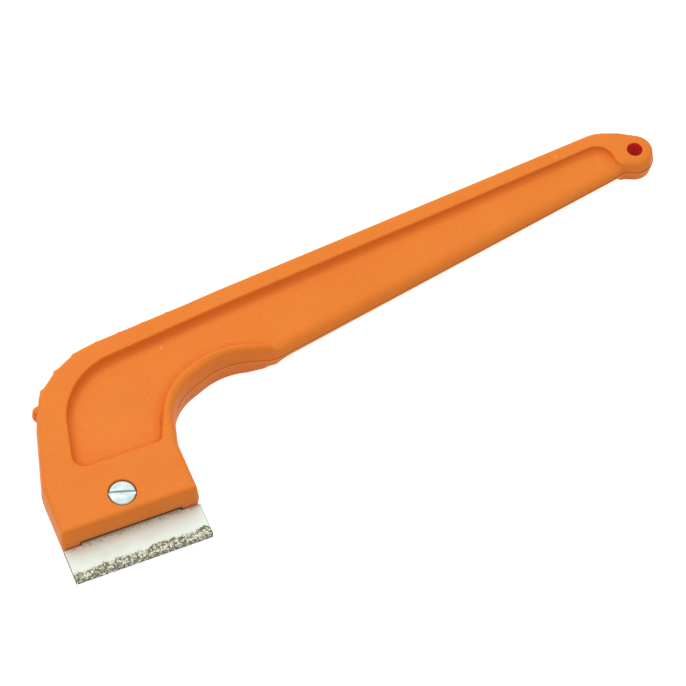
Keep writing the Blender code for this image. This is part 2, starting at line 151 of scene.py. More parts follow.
def surfaceGrain():
    # fine unevenness of a surface: a soft large one, a fine one, and scattered specks
    tree, start, end = makeGroup("surfaceGrain", [
        ("Vector", "NodeSocketVector", None), ("Fine Scale", "NodeSocketFloat", 2500.0),
        ("Broad Scale", "NodeSocketFloat", 60.0), ("Speck Scale", "NodeSocketFloat", 300.0),
    ], [("Fine", "NodeSocketFloat"), ("Broad", "NodeSocketFloat"), ("Specks", "NodeSocketFloat")])
    vector = start.outputs["Vector"]
    fine = noiseNode(tree, vector, start.outputs["Fine Scale"], 3.0, 0.6, (-500, 200))
    broad = noiseNode(tree, vector, start.outputs["Broad Scale"], 3.0, 0.5, (-500, 0))
    cells = addNode(tree, "ShaderNodeTexVoronoi", (-500, -250))
    tree.links.new(vector, cells.inputs["Vector"])
    tree.links.new(start.outputs["Speck Scale"], cells.inputs["Scale"])
    near = mapRange(tree, cells.outputs["Distance"], 0.06, 0.14, 1.0, 0.0, (-250, -200))
    pick = addNode(tree, "ShaderNodeSeparateColor", (-300, -420))
    tree.links.new(cells.outputs["Color"], pick.inputs[0])
    chosen = mathNode(tree, "GREATER_THAN", pick.outputs[0], 0.93, (-100, -420))
    specks = mathNode(tree, "MULTIPLY", near, chosen, (100, -250))
    for label, socket in (("Fine", fine), ("Broad", broad), ("Specks", specks)):
        tree.links.new(socket, end.inputs[label])
    return tree


def wornScratches():
    # thin hair scratches that run mostly one way
    tree, start, end = makeGroup("wornScratches", [
        ("Vector", "NodeSocketVector", None), ("Scale", "NodeSocketFloat", 200.0),
        ("Stretch", "NodeSocketVector", (1.0, 30.0, 1.0)), ("Amount", "NodeSocketFloat", 0.5),
    ], [("Mask", "NodeSocketFloat")])
    stretched = addNode(tree, "ShaderNodeVectorMath", (-600, 0), operation="MULTIPLY")
    tree.links.new(start.outputs["Vector"], stretched.inputs[0])
    tree.links.new(start.outputs["Stretch"], stretched.inputs[1])
    grain = noiseNode(tree, stretched.outputs[0], start.outputs["Scale"], 4.0, 0.7, (-350, 0))
    line = mapRange(tree, grain, 0.52, 0.72, 0.0, 1.0, (-100, 0))
    tree.links.new(mathNode(tree, "MULTIPLY", line, start.outputs["Amount"], (200, 0)), end.inputs["Mask"])
    return tree


grainGroup = surfaceGrain()
scratchGroup = wornScratches()


def placeGroup(tree, group, vector, place=(-700, 0), **values):
    node = addNode(tree, "ShaderNodeGroup", place, node_tree=group)
    tree.links.new(vector, node.inputs["Vector"])
    for label, value in values.items():
        node.inputs[label.replace("_", " ")].default_value = value
    return node


def startMaterial(name, look):
    material = bpy.data.materials.new(name)
    material.use_nodes = True
    tree = material.node_tree
    shader = tree.nodes["Principled BSDF"]
    for label, value in look.items():
        shader.inputs[label].default_value = value
    material.diffuse_color = look.get("Base Color", (0.8, 0.8, 0.8, 1.0))
    coords = addNode(tree, "ShaderNodeTexCoord", (-1100, 0))
    return material, tree, shader, coords.outputs["Object"]


def addBump(tree, shader, height, strength, distance):
    bump = addNode(tree, "ShaderNodeBump", (-250, -350))
    bump.inputs["Strength"].default_value = strength
    bump.inputs["Distance"].default_value = distance
    tree.links.new(height, bump.inputs["Height"])
    tree.links.new(bump.outputs["Normal"], shader.inputs["Normal"])


def partLine():
    # masks for the painted shade line at the mould's parting plane and the painted highlight on the ledge
    # just under it; the plane sinks towards the thin end
    tree, start, end = makeGroup("partLine", [
        ("Vector", "NodeSocketVector", None), ("Height", "NodeSocketFloat", 0.008),
        ("Taper Start", "NodeSocketFloat", 0.0), ("Taper Slope", "NodeSocketFloat", 1.0),
        ("Half Width", "NodeSocketFloat", 0.0001),
    ], [("Mask", "NodeSocketFloat"), ("Ledge Highlight", "NodeSocketFloat")])
    parts = addNode(tree, "ShaderNodeSeparateXYZ", (-700, 0))
    tree.links.new(start.outputs["Vector"], parts.inputs[0])
    beyond = mathNode(tree, "SUBTRACT", parts.outputs["X"], start.outputs["Taper Start"], (-500, 0))
    beyond = mathNode(tree, "MAXIMUM", beyond, 0.0, (-350, 0))
    thinned = mathNode(tree, "MULTIPLY", beyond, start.outputs["Taper Slope"], (-200, 0))
    left = mathNode(tree, "SUBTRACT", 1.0, thinned, (-50, 0))
    plane = mathNode(tree, "MULTIPLY", left, start.outputs["Height"], (100, 0))
    apart = mathNode(tree, "SUBTRACT", plane, parts.outputs["Z"], (250, 0))
    signed = mathNode(tree, "DIVIDE", apart, start.outputs["Half Width"], (400, 0))
    share = mathNode(tree, "ABSOLUTE", signed, None, (550, 0))
    # the first mask paints the shade line along the parting plane
    tree.links.new(mapRange(tree, share, 0.6, 1.3, 1.0, 0.0, (700, 0)), end.inputs["Mask"])
    # the second paints a highlight on the ledge just under it
    lip = mathNode(tree, "MULTIPLY", mapRange(tree, signed, 1.0, 1.6, 0.0, 1.0, (550, -300)),
                   mapRange(tree, signed, 2.8, 4.2, 1.0, 0.0, (550, -550)), (700, -300))
    tree.links.new(lip, end.inputs["Ledge Highlight"])
    return tree


def roundAbout():
    # mask that is full inside this radius of an upright axis
    tree, start, end = makeGroup("roundAbout", [
        ("Vector", "NodeSocketVector", None), ("Axis", "NodeSocketVector", (0.0, 0.0, 0.0)),
        ("Radius", "NodeSocketFloat", 0.003), ("Fade", "NodeSocketFloat", 0.0003),
    ], [("Mask", "NodeSocketFloat"), ("Distance", "NodeSocketFloat")])
    centred = addNode(tree, "ShaderNodeVectorMath", (-600, 0), operation="SUBTRACT")
    tree.links.new(start.outputs["Vector"], centred.inputs[0])
    tree.links.new(start.outputs["Axis"], centred.inputs[1])
    flat = addNode(tree, "ShaderNodeVectorMath", (-450, 0), operation="MULTIPLY")
    tree.links.new(centred.outputs[0], flat.inputs[0])
    flat.inputs[1].default_value = (1.0, 1.0, 0.0)
    length = addNode(tree, "ShaderNodeVectorMath", (-300, 0), operation="LENGTH")
    tree.links.new(flat.outputs[0], length.inputs[0])
    past = mathNode(tree, "SUBTRACT", length.outputs["Value"], start.outputs["Radius"], (-150, 0))
    share = mathNode(tree, "DIVIDE", past, start.outputs["Fade"], (0, 0))
    tree.links.new(mapRange(tree, share, 0.0, 1.0, 1.0, 0.0, (200, 0)), end.inputs["Mask"])
    tree.links.new(length.outputs["Value"], end.inputs["Distance"])
    return tree


partLineGroup = partLine()
roundAboutGroup = roundAbout()


# Handle: orange moulding with a satin, slightly uneven skin
# The lengths in this dictionary are metres, as shaders take them.
orange = {
    "color": (0.85, 0.222, 0.026),
    "deep": (0.77, 0.170, 0.014),
    "deepFrom": (0.35, 0.65),          # of the broad unevenness
    "deepMost": 0.3,
    "pale": (0.92, 0.300, 0.062),
    "paleFrom": (0.42, 0.66),          # of the fine unevenness
    "paleMost": 0.5,
    "paintedShade": (0.62, 0.048, 0.002),     # painted shade in hollows, darker and redder where ambient occlusion closes in
    "shadeReach": 0.0030,
    "shadeFrom": (0.67, 0.94),
    "dust": (0.95, 0.55, 0.30),
    "dustMost": 0.35,
    "seam": (0.58, 0.120, 0.009),      # painted shade line at the parting plane, and the painted highlight on the ledge under it
    "seamWidth": 0.00016,
    "seamLift": 0.0001,
    # painted highlight on the ledge under the parting line
    "lip": (0.98, 0.380, 0.090),
    "ledgeHighlightMost": 0.70,
    "paintedGlowColor": (0.72, 0.028, 0.030),  # painted red glow in the eye's hole, standing in for light coming through the plastic
    "paintedGlow": 0.070,
    "glowOver": 0.00002,               # how far it laps over the hole's edge, and how softly it ends
    "glowFade": 0.0001,
    "roughness": (0.42, 0.54),
    "grainDepth": 0.00003,
    "grainStrength": 0.35,
    "broadShare": 0.6,
}


def orangeMaterial():
    material, tree, shader, coords = startMaterial("orangePlastic", {
        "Base Color": (*orange["color"], 1.0), "Roughness": 0.5, "Specular IOR Level": 0.10,
        # the emission is the painted glow in the eye's hole
        "Emission Strength": orange["paintedGlow"],
    })
    grain = placeGroup(tree, grainGroup, coords, Fine_Scale=2200.0, Broad_Scale=45.0, Speck_Scale=170.0)
    fine, broad = grain.outputs["Fine"], grain.outputs["Broad"]
    mottled = mapRange(tree, broad, *orange["deepFrom"], 0.0, orange["deepMost"], (-450, 250))
    skin = mixColor(tree, mottled, orange["color"], orange["deep"], (-300, 300))
    flecked = mapRange(tree, fine, *orange["paleFrom"], 0.0, orange["paleMost"], (-450, 100))
    skin = mixColor(tree, flecked, skin, orange["pale"], (-100, 300))
    # painted shade: the colour turns darker and redder in hollows, by ambient occlusion
    hollow = addNode(tree, "ShaderNodeAmbientOcclusion", (-700, 1100), only_local=True, samples=8)
    hollow.inputs["Distance"].default_value = orange["shadeReach"]
    shaded = mapRange(tree, hollow.outputs["AO"], *orange["shadeFrom"], 1.0, 0.0, (-450, 1100))
    skin = mixColor(tree, shaded, skin, orange["paintedShade"], (0, 450))
    dusted = mathNode(tree, "MULTIPLY", grain.outputs["Specks"], orange["dustMost"], (-450, -50))
    skin = mixColor(tree, dusted, skin, orange["dust"], (100, 300))

    # painted shade line at the parting plane, with a painted highlight on the ledge under it
    seam = placeGroup(tree, partLineGroup, coords, (-700, 600),
                      Height=handle["thickness"] / 2000 + orange["seamLift"],
                      Taper_Start=edgeMiddle.x + handle["taperStart"] / 1000, Taper_Slope=taperSlope() * 1000,
                      Half_Width=orange["seamWidth"])
    ledgeHighlight = mathNode(tree, "MULTIPLY", seam.outputs["Ledge Highlight"], orange["ledgeHighlightMost"], (-450, 700))
    skin = mixColor(tree, ledgeHighlight, skin, orange["lip"], (180, 300))
    skin = mixColor(tree, seam.outputs["Mask"], skin, orange["seam"], (250, 300))

    # painted glow in the eye's hole: a dark red colour that also emits weakly
    eyeX, eyeY = seat["eye"]
    hole = placeGroup(tree, roundAboutGroup, coords, (-700, 850),
                      Radius=seat["eyeHole"] / 1000 + orange["glowOver"], Fade=orange["glowFade"],
                      Axis=(edgeMiddle.x + eyeX / 1000, edgeMiddle.y + eyeY / 1000, 0.0))
    skin = mixColor(tree, hole.outputs["Mask"], skin, orange["paintedGlowColor"], (400, 300))
    tree.links.new(skin, shader.inputs["Base Color"])
    paintedGlowing = mixColor(tree, hole.outputs["Mask"], (0.0, 0.0, 0.0), orange["paintedGlowColor"], (400, 850))
    tree.links.new(paintedGlowing, shader.inputs["Emission Color"])

    rough = mapRange(tree, fine, 0.3, 0.7, *orange["roughness"], (-450, -150))
    tree.links.new(rough, shader.inputs["Roughness"])
    height = mathNode(tree, "MULTIPLY", broad, orange["broadShare"], (-450, -300))
    height = mathNode(tree, "ADD", fine, height, (-400, -420))
    addBump(tree, shader, height, orange["grainStrength"], orange["grainDepth"])
    return material


handle = {
    "thickness": 16.5,
    "tail": 10.3,               # thickness at the hanging eye
    "taperStart": 60.0,
    "reach": 227.9,
    "rise": 90.0,
    "draft": 5.0,
    "recessDepth": 3.6,
    "recessDraft": 8.0,
    "coveRadius": 2.1,
    "rimEdge": 0.35,            # rounding where the recess cuts the face
    "lipEdge": 1.30,            # the same along the finger hold
    "wallEdge": 0.3,            # the same where it cuts the side wall
    "gripEdge": (3.9, 4.4),     # upper and lower rounding of the grip's front edge
    "headFront": 13.2,
    "groove": ((21.5, 38.0), (24.4, 47.4), 0.95, 1.35),    # two ends, radius, times as deep
    "grooveNarrows": 0.6,
    "grooveEdge": 0.2,
    "partStep": 0.40,           # how far the lower half stands out along the front walls
    "partEase": 0.34,           # height over which it does so
    "partTop": 0.05,
    "partFrom": (35.0, 43.0),
    "step": 0.35,               # grid step of the skin
    "stepUp": 0.34,
    "span": ((-29.13, 237.5), (11.37, 106.0)),    # what the grid covers
    "air": 1.2,                 # free height of the grid over the faces
    "arcStep": 0.8,
    "edgeBlend": 3.0,           # length over which one rounding runs into the next
    # where the finger hold's rim and the grip's rounded front begin and end
    "holdWall": (6.0, 2.0),     # distance inside the outline
    "holdStart": (14.0, 24.0),
    "holdEnd": (74.0, 66.0),
    "holdFront": (37.0, 41.0),
    "holdBack": 66,
    "gripStart": (66.0, 74.0),
    "gripEnd": (224.0, 216.0),
    "gripBack": 88,
}
# x, y, plan radius, rounding of the upper and lower edge of the wall that follows
handleOutline = [
    (25.6, 13.2, 1.2, 1.7, 1.7), (25.6, 33.5, 5.0, 2.6, 0.9), (30.13, 52.20, 19.0, 2.6, 0.9),
    (52.64, 61.20, 26.0, 2.6, 0.9), (67.30, 57.17, 0.0, 2.6, 6.0), (71.00, 56.15, 12.0, 2.0, 6.0),
    (215.08, 83.38, 0.0, 2.8, 0.9), (221.86, 85.05, 2.4, 2.8, 0.9), (229.84, 81.26, 7.1, 2.8, 0.9),
    (239.29, 92.52, 7.1, 2.8, 0.9), (226.40, 100.10, 14.0, 2.0, 2.0),
    (217.00, 103.30, 16.0, 2.0, 2.0), (46.99, 86.34, 36.0, 2.0, 2.0), (12.19, 83.46, 21.6, 2.0, 2.0),
    (4.54, 82.18, 10.8, 2.0, 2.0), (-5.10, 77.39, 9.9, 2.0, 2.0), (-13.90, 69.96, 7.2, 2.0, 2.0),
    (-18.21, 60.16, 9.9, 2.0, 2.0), (-25.6, 34.04, 3.0, 1.7, 1.7), (-25.6, 13.2, 1.2, 1.3, 1.3),
]
# x, y and plan radius
recessOutline = [
    (20.17, 35.8, 2.6), (27.69, 53.55, 26.1), (49.27, 68.49, 33.3), (84.32, 51.45, 1.5),
    (222.50, 79.05, 1.5), (219.50, 88.50, 8.0), (219.30, 97.60, 6.5), (150.00, 89.73, 0.0),
    (-3.92, 73.20, 27.0), (-12.60, 35.8, 4.5),
]
ribs = {
    "count": 8,
    "pitch": 9.3,
    "start": 40.57,             # x of the first one, on the back edge beyond this y
    "backFrom": 80,
    "radius": 2.0,
    "proud": 0.85,
    "endDrop": 1.2,
    "lastRadius": 2.5,          # the rib on the shoulder is fuller, stands out further and is short
    "lastProud": 1.75,
    "lastDrop": 1.3,
    "lastFoot": 2.0,            # its lower round's middle above the parting plane
    "lastMove": (0.3, 1.0),     # right and towards the tail
    "near": 6,                  # half the square that a rib is worked out in
    "foot": 0.5,                # how softly it runs into the wall
}
seat = {
    "slot": (18.7, 3.5, 5.9, 31.0),    # half width, bottom, top, end
    "mouthTop": 7.1,
    "mouthDepth": 3.0,
    "slotEdge": 0.4,
    "lip": 0.5,                 # rounding of the mouth's edges
    "screwY": 21.5,
    "sink": (5.05, 13.2),
    "sinkEdge": 0.25,
    "bore": 2.8,
    "nutFlats": 8.6,
    "nutTop": 2.9,
    "nutEdge": 0.2,
    "eye": (228.0, 90.15),
    "eyeHole": 2.85,
    "eyeEdge": 0.2,
}


def taperSlope():
    # share of the thickness that is lost for each millimetre towards the tail
    return (1 - handle["tail"] / handle["thickness"]) / (handle["reach"] - handle["taperStart"])


def roundedCorners(corners, spacing):
    # closed polygon with arcs at its corners, and for each of its points the corner that it came from
    points, source = [], []
    count = len(corners)
    for i in range(count):
        here = np.array(corners[i][:2])
        before = np.array(corners[i - 1][:2]) - here
        after = np.array(corners[(i + 1) % count][:2]) - here
        before /= np.linalg.norm(before)
        after /= np.linalg.norm(after)
        radius = corners[i][2]
        if radius == 0:
            points.append(here)
            source.append(i)
            continue
        half = math.acos(np.clip(before @ after, -1, 1)) / 2
        centre = here + (before + after) / np.linalg.norm(before + after) * radius / math.sin(half)
        start = here + before * radius / math.tan(half) - centre
        end = here + after * radius / math.tan(half) - centre
        first = math.atan2(start[1], start[0])
        turn = (math.atan2(end[1], end[0]) - first + math.pi) % math.tau - math.pi
        steps = max(2, int(abs(turn) * radius / spacing))
        for step in range(steps + 1):
            angle = first + turn * step / steps
            points.append(centre + radius * np.array([math.cos(angle), math.sin(angle)]))
            source.append(i - 1 if step < steps / 2 else i)
    return np.array(points), np.array(source) % count


def distanceField(points, gridX, gridY, values=None):
    # signed distance to a closed polygon, negative inside, and the values of its nearest sides
    field = np.full(gridX.shape, 1e9)
    inside = np.zeros(gridX.shape, bool)
    nearest = np.zeros((len(values[0]) if values is not None else 0, *gridX.shape))
    for i in range(len(points)):
        start, end = points[i], points[(i + 1) % len(points)]
        way = end - start
        share = np.clip(((gridX - start[0]) * way[0] + (gridY - start[1]) * way[1]) / (way @ way), 0, 1)
        apart = np.hypot(gridX - start[0] - share * way[0], gridY - start[1] - share * way[1])
        closer = apart < field
        field[closer] = apart[closer]
        if values is not None:
            follow = values[(i + 1) % len(points)]
            for k in range(len(nearest)):
                nearest[k][closer] = (values[i][k] + share * (follow[k] - values[i][k]))[closer]
        crosses = (start[1] > gridY) != (end[1] > gridY)
        if way[1]:
            inside ^= crosses & (gridX < start[0] + (gridY - start[1]) / way[1] * way[0])
    return np.where(inside, -field, field), nearest


def alongSmooth(points, values, reach):
    # averages values along a closed polygon over this many millimetres, so that roundings blend
    closed = np.vstack([points, points[:1]])
    lengths = np.hypot(*(np.diff(closed, axis=0).T))
    run = np.concatenate([[0], np.cumsum(lengths)])
    spacing = 0.25
    fine = np.arange(0, run[-1], spacing)
    held = values[np.clip(np.searchsorted(run, fine, side="right") - 1, 0, len(values) - 1)]
    width = int(reach / spacing)
    kernel = np.hanning(2 * width + 1)
    kernel /= kernel.sum()
    out = np.zeros((len(points), values.shape[1]))
    for k in range(values.shape[1]):
        wrapped = np.concatenate([held[-width:, k], held[:, k], held[:width, k]])
        smoothed = np.convolve(wrapped, kernel, mode="valid")
        out[:, k] = np.interp(run[:-1], fine, smoothed)
    return out


def roundMax(first, second, radius):
    # the part inside both fields, with a rounded edge where they meet
    one, two = first + radius, second + radius
    return np.minimum(np.maximum(one, two), 0) + np.hypot(np.maximum(one, 0), np.maximum(two, 0)) - radius


def blendMin(first, second, reach):
    share = np.clip(0.5 + 0.5 * (second - first) / reach, 0, 1)
    return second * (1 - share) + first * share - reach * share * (1 - share)


def ribPlaces(points):
    # even steps along the back edge from the first rib towards the shoulder
    run = [p for p in points if p[1] > handle["rise"] / 2]
    start = next(i for i in range(1, len(run))
                 if run[i - 1][0] > ribs["start"] >= run[i][0] and run[i][1] > ribs["backFrom"])
    share = (run[start - 1][0] - ribs["start"]) / (run[start - 1][0] - run[start][0])
    here = run[start - 1] + share * (run[start] - run[start - 1])
    places, left = [], 0.0
    index = start
    while len(places) < ribs["count"]:
        way = run[index] - here
        length = np.hypot(*way)
        if left > length:
            left -= length
            here = run[index]
            index += 1
            continue
        here = here + way / length * left
        places.append((here, np.array([-way[1], way[0]]) / length))
        left = ribs["pitch"]
    return places


def fieldAt(field, place):
    # value and slope of the field between its grid points, per grid step
    low = np.clip(np.floor(place).astype(int), 0, np.array(field.shape) - 2)
    share = place - low
    value = np.zeros(len(place))
    slope = np.zeros((len(place), 3))
    for i in (0, 1):
        for j in (0, 1):
            for k in (0, 1):
                held = field[low[:, 0] + i, low[:, 1] + j, low[:, 2] + k]
                parts = [share[:, axis] if far else 1 - share[:, axis] for axis, far in enumerate((i, j, k))]
                value += held * parts[0] * parts[1] * parts[2]
                slope[:, 0] += held * (1 if i else -1) * parts[1] * parts[2]
                slope[:, 1] += held * (1 if j else -1) * parts[0] * parts[2]
                slope[:, 2] += held * (1 if k else -1) * parts[0] * parts[1]
    return value, slope


def skinOfField(field, xs, ys, zs):
    # closed quad skin over the zero level of a field on a regular grid
    inside = field < 0
    corners = [(i, j, k) for i in (0, 1) for j in (0, 1) for k in (0, 1)]
    nx, ny, nz = (size - 1 for size in field.shape)
    total = np.zeros((nx, ny, nz), np.int8)
    for i, j, k in corners:
        total += inside[i:nx + i, j:ny + j, k:nz + k]
    cells = np.argwhere((total > 0) & (total < 8))
    index = np.full((nx, ny, nz), -1, np.int32)
    index[tuple(cells.T)] = np.arange(len(cells))
    place = np.zeros((len(cells), 3))
    hits = np.zeros(len(cells))
    for a in corners:
        for axis in range(3):
            if a[axis]:
                continue
            b = list(a)
            b[axis] = 1
            first = field[tuple((cells + a).T)]
            second = field[tuple((cells + b).T)]
            crossed = (first < 0) != (second < 0)
            share = np.where(crossed, first / np.where(crossed, first - second, 1), 0)
            point = np.tile(np.array(a, float), (len(cells), 1))
            point[:, axis] += share
            place += point * crossed[:, None]
            hits += crossed
    place = cells + place / hits[:, None]
    step = np.array([xs[1] - xs[0], ys[1] - ys[0], zs[1] - zs[0]])
    farthest = 0.35    # of a grid step, in each of two moves onto the level
    for _ in range(2):
        value, slope = fieldAt(field, place)
        size = np.maximum((slope ** 2).sum(axis=1), 1e-9)
        move = -(value / size)[:, None] * slope
        place += np.clip(move, -farthest, farthest)
    points = np.array([xs[0], ys[0], zs[0]]) + place * step
    faces = []
    for axis in range(3):
        one, two = (axis + 1) % 3, (axis + 2) % 3
        low = [slice(None)] * 3
        high = [slice(None)] * 3
        low[axis], high[axis] = slice(None, -1), slice(1, None)
        first, second = inside[tuple(low)], inside[tuple(high)]
        for where, flip in ((first & ~second, False), (~first & second, True)):
            at = np.argwhere(where)
            at = at[(at[:, one] > 0) & (at[:, two] > 0)]
            ring = []
            for back in ((0, 0), (1, 0), (1, 1), (0, 1)):
                cell = at.copy()
                cell[:, one] -= back[0]
                cell[:, two] -= back[1]
                ring.append(index[tuple(cell.T)])
            quad = np.stack(ring, axis=1)
            faces.append(quad[:, ::-1] if flip else quad)
    return points, np.concatenate(faces)


def makeHandle():
    coarse = 1.0
    stepXY, stepZ = handle["step"] * coarse, handle["stepUp"] * coarse
    middle = handle["thickness"] / 2
    xs, ys = (np.arange(first, last, stepXY) for first, last in handle["span"])
    levels = math.ceil((middle + handle["air"]) / stepZ)
    zs = middle + np.arange(-levels, levels + 1) * stepZ
    gridX, gridY = np.meshgrid(xs, ys, indexing="ij")
    outline, source = roundedCorners(handleOutline, handle["arcStep"])
    edges = np.array([handleOutline[i][3:5] for i in source])
    edges = alongSmooth(outline, edges, handle["edgeBlend"])
    wall, (topEdge, underEdge) = distanceField(outline, gridX, gridY, edges)
    recessPoints, _ = roundedCorners(recessOutline, handle["arcStep"])
    recess, _ = distanceField(recessPoints, gridX, gridY)
    print("outline fields", gridX.shape)

    up = zs - middle
    height = np.abs(up)[None, None, :]
    above = (up > 0)[None, None, :]
    draft = math.tan(math.radians(handle["draft"]))
    towardsFront = np.clip(-np.gradient(wall, stepXY, axis=1), 0, 1) * smoothStep(*handle["partFrom"], gridY)
    lowerHalf = smoothStep(handle["partTop"], handle["partTop"] - handle["partEase"], up)
    ledge = handle["partStep"] * towardsFront[:, :, None] * lowerHalf[None, None, :]
    side = wall[:, :, None] + draft * height - ledge
    face = height - middle
    edge = np.where(above, topEdge[:, :, None], underEdge[:, :, None])
    body = roundMax(side, face, edge)

    # recess in each face: a wall with a soft foot, and a floor that runs out through the grip's front
    floor = middle - handle["recessDepth"]
    recessWall = recess[:, :, None] + math.tan(math.radians(handle["recessDraft"])) * (middle - height)
    cut = roundMax(recessWall, floor - height, handle["coveRadius"])
    hold = smoothStep(*handle["holdWall"], wall) * smoothStep(*handle["holdStart"], gridX)
    hold = hold * smoothStep(*handle["holdEnd"], gridX) * (gridY < handle["holdBack"])
    hold = hold * smoothStep(*handle["holdFront"], gridY)
    rim = (handle["rimEdge"] + (handle["lipEdge"] - handle["rimEdge"]) * hold)[:, :, None]
    grip = np.where(above, *handle["gripEdge"])
    onGrip = smoothStep(*handle["gripStart"], gridX) * (gridY < handle["gripBack"])
    onGrip = (onGrip * smoothStep(*handle["gripEnd"], gridX))[:, :, None]
    sideCut = roundMax(side, -cut, handle["wallEdge"] + (grip - handle["wallEdge"]) * onGrip)
    body = np.maximum(np.maximum(body, sideCut), roundMax(face, -cut, rim))

    # short deep groove where the rim of the hold ends
    start, end, radius, deeper = handle["groove"]
    way = np.subtract(end, start)
    share = np.clip(((gridX - start[0]) * way[0] + (gridY - start[1]) * way[1]) / (way @ way), 0, 1)
    apart = np.hypot(gridX - start[0] - share * way[0], gridY - start[1] - share * way[1])
    width = radius * (1 - handle["grooveNarrows"] * share)[:, :, None]
    groove = np.hypot(apart[:, :, None], (height - floor) / deeper) - width
    body = roundMax(body, -groove, handle["grooveEdge"])

    # ribs
    for number, (spot, inward) in enumerate(ribPlaces(outline)):
        radius, proud, drop = ribs["radius"], ribs["proud"], ribs["endDrop"]
        foot = -middle + drop + radius
        if number == ribs["count"] - 1:
            radius, proud = ribs["lastRadius"], ribs["lastProud"]
            drop, foot = ribs["lastDrop"], ribs["lastFoot"]
            spot = spot + np.array(ribs["lastMove"])
        nearX = (np.abs(xs - spot[0]) < ribs["near"])
        nearY = (np.abs(ys - spot[1]) < ribs["near"])
        plan = np.ix_(nearX, nearY)
        block = np.ix_(nearX, nearY, np.ones(len(zs), bool))
        axis = spot + inward * (radius - proud)
        across = np.hypot(gridX[plan] - axis[0], gridY[plan] - axis[1])
        across = across[:, :, None] + draft * height
        beyond = np.maximum(np.maximum(up - (middle - drop - radius), foot - up), 0)[None, None, :]
        body[block] = blendMin(body[block], np.hypot(across, beyond) - radius, ribs["foot"])

    # the blade's seat, the screw's sink and bore, the nut's pocket and the hole in the eye
    z = zs[None, None, :]
    halfWide, slotLow, slotHigh, slotEnd = seat["slot"]
    slope = (seat["mouthTop"] - slotHigh) / seat["mouthDepth"]
    mouth = z - seat["mouthTop"] + (gridY[:, :, None] - handle["headFront"]) * slope
    roof = np.minimum(z - slotHigh, mouth / math.hypot(1, slope))
    slot = np.maximum(np.maximum(slotLow - z, roof), gridY[:, :, None] - slotEnd)
    slot = roundMax(np.abs(gridX)[:, :, None] - halfWide, slot, seat["slotEdge"])
    body = roundMax(body, -slot, seat["lip"])
    fromScrew = np.hypot(gridX, gridY - seat["screwY"])[:, :, None]
    sinkRadius, sinkFloor = seat["sink"]
    body = roundMax(body, -np.maximum(fromScrew - sinkRadius, sinkFloor - z), seat["sinkEdge"])
    body = np.maximum(body, seat["bore"] - fromScrew)
    flats = np.max([np.abs(gridX * math.cos(angle) + (gridY - seat["screwY"]) * math.sin(angle))
                    for angle in (math.pi / 6, math.pi / 2, 5 * math.pi / 6)], axis=0)
    pocket = np.maximum(flats[:, :, None] - seat["nutFlats"] / 2, z - seat["nutTop"])
    body = roundMax(body, -pocket, seat["nutEdge"])
    eyeX, eyeY = seat["eye"]
    fromEye = np.hypot(gridX - eyeX, gridY - eyeY)[:, :, None]
    body = roundMax(body, seat["eyeHole"] - fromEye, seat["eyeEdge"])

    points, faces = skinOfField(body, xs, ys, zs)
    points[:, 2] *= 1 - taperSlope() * np.maximum(points[:, 0] - handle["taperStart"], 0)
    item = meshObject("handleMoulding", points, faces, orangeMaterial())
    standFor(item, "handle", "handle_body")
    print("handle", len(points), "points")


makeHandle()


# Blade: bright plated sheet, a wide edge outside the head and a slotted tang inside it
blade = {
    "width": 50.8,
    "tang": 36.8,
    "front": 0.7,
    "shoulder": 12.9,
    "rear": 30.7,
    "slot": 2.8,
    "bottom": 3.8,
    "top": 5.6,
    "corner": 2.0,
    "edge": 0.12,
    "color": (0.75, 0.84, 0.755),
    "bright": (0.87, 0.94, 0.85),     # painted lighter steel by the head, against the shade that the head casts on the plate
    "brightFrom": (7.0, 12.5),        # these ranges are millimetres behind the cutting edge
    "smudge": (0.68, 0.73, 0.62),
    "smudgeFrom": (0.54, 0.72),       # of the broad unevenness
    "smudgeMost": 0.5,
    "dirtAndShade": (0.34, 0.27, 0.17),       # grout dust and grease by the head, and painted shade there
    "dirtAndShadeFrom": (7.0, 14.5),
    "dirtAndShadeSpots": (1.16, 1.30),
    "dirtAndShadeMost": 0.55,
    "paintedMouthShade": (0.20, 0.115, 0.055),     # painted shade inside the mouth
    "paintedMouthShadeFrom": (13.3, 13.9),
    "untilTangFrom": (15.0, 17.5),        # the painted shade and the brown spots stop on the tang behind it
    "side": (0.30, 0.29, 0.22),       # darker side edges: sheared steel and painted shade
    "sideFrom": (0.28, 0.18),         # in from the side
    "roughness": (0.42, 0.54),
    "scratchRoughness": 0.2,
}


